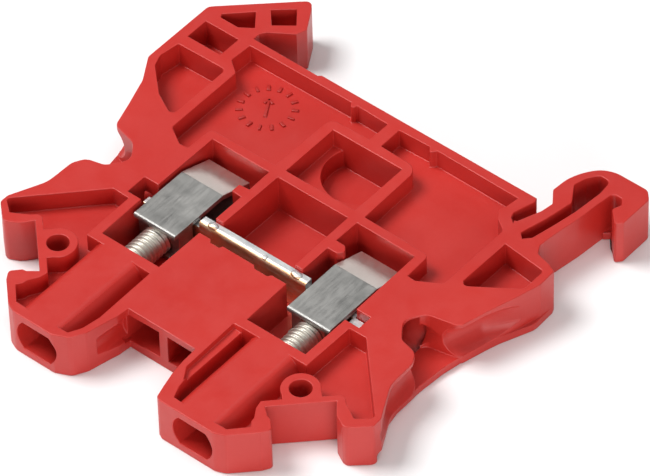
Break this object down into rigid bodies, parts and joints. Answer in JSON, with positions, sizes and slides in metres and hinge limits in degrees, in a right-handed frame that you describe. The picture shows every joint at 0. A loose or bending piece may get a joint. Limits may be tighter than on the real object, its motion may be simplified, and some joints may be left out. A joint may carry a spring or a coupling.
{
  "type": "rail-mount screw terminal block",
  "caption": "Open-sided feed-through screw terminal block that clips on a 35 mm rail and joins two wires through a current bar.",
  "frame": {"origin": "middle of the overall outline, on the closed side face that lies down", "axes": "+X along the wires, from the fixed-hook side to the latch side; +Y towards the rail; +Z through the thickness, from the closed side to the open side"},
  "size_m": [0.0482, 0.0478, 0.0051],
  "materials": {
    "housing_plastic": "moulded polyamide, red, satin",
    "tinned_copper": "tin-plated copper strip, sheared edges",
    "plated_steel": "zinc-plated pressed steel",
    "passivated_steel": "zinc-plated, passivated machine screw"
  },
  "bodies": {
    "block": {"housing": "housing_plastic", "current_bar": "tinned_copper"},
    "latch": {"rail_latch": "housing_plastic"},
    "yoke_left": {"clamp_yoke_left": "plated_steel"},
    "yoke_right": {"clamp_yoke_right": "plated_steel"},
    "screw_left": {"clamp_screw_left": "passivated_steel"},
    "screw_right": {"clamp_screw_right": "passivated_steel"}
  },
  "joints": [
    {"name": "latch_flex", "type": "hinge", "parent": "block", "child": "latch", "pos_m": [0.01802, 0.0108, 0.00255], "axis": [0, 0, -1], "range_deg": [0, 8], "stiffness_Nm_per_rad": 0.5},
    {"name": "screw_left_turn", "type": "hinge", "parent": "block", "child": "screw_left", "pos_m": [-0.00948, -0.0087, 0.00255], "axis": [0, 1, 0], "range_deg": [0, 2305]},
    {"name": "screw_right_turn", "type": "hinge", "parent": "block", "child": "screw_right", "pos_m": [0.00912, -0.0087, 0.00255], "axis": [0, 1, 0], "range_deg": [-217, 2090]},
    {"name": "yoke_left_slide", "type": "slide", "parent": "block", "child": "yoke_left", "axis": [0, -1, 0], "range_m": [0, 0.0032]},
    {"name": "yoke_right_slide", "type": "slide", "parent": "block", "child": "yoke_right", "axis": [0, -1, 0], "range_m": [-0.0003, 0.0029]}
  ],
  "couplings": [
    {"joint": "screw_left_turn", "follows": "yoke_left_slide", "rad_per_m": 12566},
    {"joint": "screw_right_turn", "follows": "yoke_right_slide", "rad_per_m": 12566}
  ]
}
